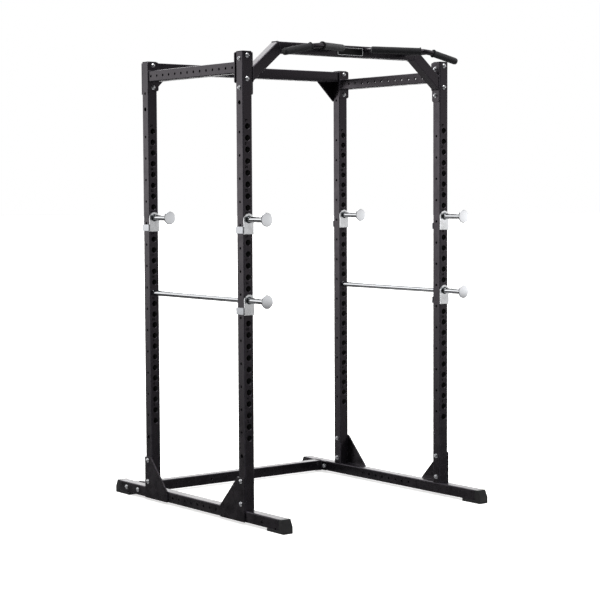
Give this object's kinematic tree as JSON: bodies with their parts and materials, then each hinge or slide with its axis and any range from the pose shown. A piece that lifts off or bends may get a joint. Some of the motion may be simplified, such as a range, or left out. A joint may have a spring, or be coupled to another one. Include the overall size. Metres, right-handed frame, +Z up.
{
  "type": "power cage",
  "caption": "Four-post steel lifting cage with drilled uprights, twist-lock J-cups, safety rods, and an arched pull-up bar with angled foam grips.",
  "frame": {"origin": "middle of the footprint on the floor", "axes": "+Z up, +X to the right of a person facing the rear, the open front with the pull-up arch faces -Y"},
  "size_m": [1.2092, 1.352, 2.098],
  "materials": {
    "frame_paint": "satin black powder coat",
    "zinc_bolt": "bright zinc plate",
    "zinc_bracket": "bright zinc plate",
    "chrome_rod": "polished chrome",
    "foot_rubber": "textured black rubber",
    "black_plastic": "fine-textured black",
    "foam_grip": "closed-cell foam, matt",
    "badge_paint": "black with a silver border"
  },
  "bodies": {
    "frame": {"badge_plate": "badge_paint", "base_rail_left": "frame_paint", "base_rail_right": "frame_paint", "bolt_arch_left_lower": "zinc_bolt", "bolt_arch_left_upper": "zinc_bolt", "bolt_arch_right_lower": "zinc_bolt", "bolt_arch_right_upper": "zinc_bolt", "bolt_base_left_front": "zinc_bolt", "bolt_base_left_rear": "zinc_bolt", "bolt_base_right_front": "zinc_bolt", "bolt_base_right_rear": "zinc_bolt", "bolt_gusset_front_left_lower": "zinc_bolt", "bolt_gusset_front_left_upper": "zinc_bolt", "bolt_gusset_front_right_lower": "zinc_bolt", "bolt_gusset_front_right_upper": "zinc_bolt", "bolt_gusset_rear_left_lower": "zinc_bolt", "bolt_gusset_rear_left_upper": "zinc_bolt", "bolt_gusset_rear_right_lower": "zinc_bolt", "bolt_gusset_rear_right_upper": "zinc_bolt", "bolt_top_front_left_lower": "zinc_bolt", "bolt_top_front_left_upper": "zinc_bolt", "bolt_top_front_right_lower": "zinc_bolt", "bolt_top_front_right_upper": "zinc_bolt", "bolt_top_rear_left_lower": "zinc_bolt", "bolt_top_rear_left_upper": "zinc_bolt", "bolt_top_rear_right_lower": "zinc_bolt", "bolt_top_rear_right_upper": "zinc_bolt", "foot_front_left": "foot_rubber", "foot_front_right": "foot_rubber", "foot_rear_left": "foot_rubber", "foot_rear_right": "foot_rubber", "front_arch": "frame_paint", "grip_inner_left": "foam_grip", "grip_inner_right": "foam_grip", "grip_outer_left": "foam_grip", "grip_outer_right": "foam_grip", "handle_plug_left": "black_plastic", "handle_plug_right": "black_plastic", "pullup_handle_left": "frame_paint", "pullup_handle_right": "frame_paint", "rear_base_crossmember": "frame_paint", "rear_top_crossmember": "frame_paint", "side_rail_left": "frame_paint", "side_rail_right": "frame_paint", "top_cap_front_left": "black_plastic", "top_cap_front_right": "black_plastic", "top_cap_rear_left": "black_plastic", "top_cap_rear_right": "black_plastic", "upright_front_left": "frame_paint", "upright_front_right": "frame_paint", "upright_rear_left": "frame_paint", "upright_rear_right": "frame_paint"},
    "jcup_front_left": {"jcup_front_left": "zinc_bracket"},
    "jcup_front_right": {"jcup_front_right": "zinc_bracket"},
    "jcup_rear_left": {"jcup_rear_left": "zinc_bracket"},
    "jcup_rear_right": {"jcup_rear_right": "zinc_bracket"},
    "safety_rod_left": {"safety_rod_left": "chrome_rod"},
    "safety_rod_right": {"safety_rod_right": "chrome_rod"}
  },
  "joints": [
    {"name": "jcup_front_left_turn", "type": "hinge", "parent": "frame", "child": "jcup_front_left", "pos_m": [-0.567, -0.376, 1.328], "axis": [0, 1, 0], "range_deg": [0, 90]},
    {"name": "jcup_front_right_turn", "type": "hinge", "parent": "frame", "child": "jcup_front_right", "pos_m": [0.567, -0.376, 1.328], "axis": [0, 1, 0], "range_deg": [-90, 0]},
    {"name": "jcup_rear_left_turn", "type": "hinge", "parent": "frame", "child": "jcup_rear_left", "pos_m": [-0.567, 0.376, 1.328], "axis": [0, 1, 0], "range_deg": [0, 90]},
    {"name": "jcup_rear_right_turn", "type": "hinge", "parent": "frame", "child": "jcup_rear_right", "pos_m": [0.567, 0.376, 1.328], "axis": [0, 1, 0], "range_deg": [-90, 0]},
    {"name": "safety_rod_left_turn", "type": "hinge", "parent": "frame", "child": "safety_rod_left", "pos_m": [-0.567, -0.376, 0.978], "axis": [0, 1, 0], "range_deg": [0, 90]},
    {"name": "safety_rod_right_turn", "type": "hinge", "parent": "frame", "child": "safety_rod_right", "pos_m": [0.567, -0.376, 0.978], "axis": [0, 1, 0], "range_deg": [-90, 0]}
  ]
}
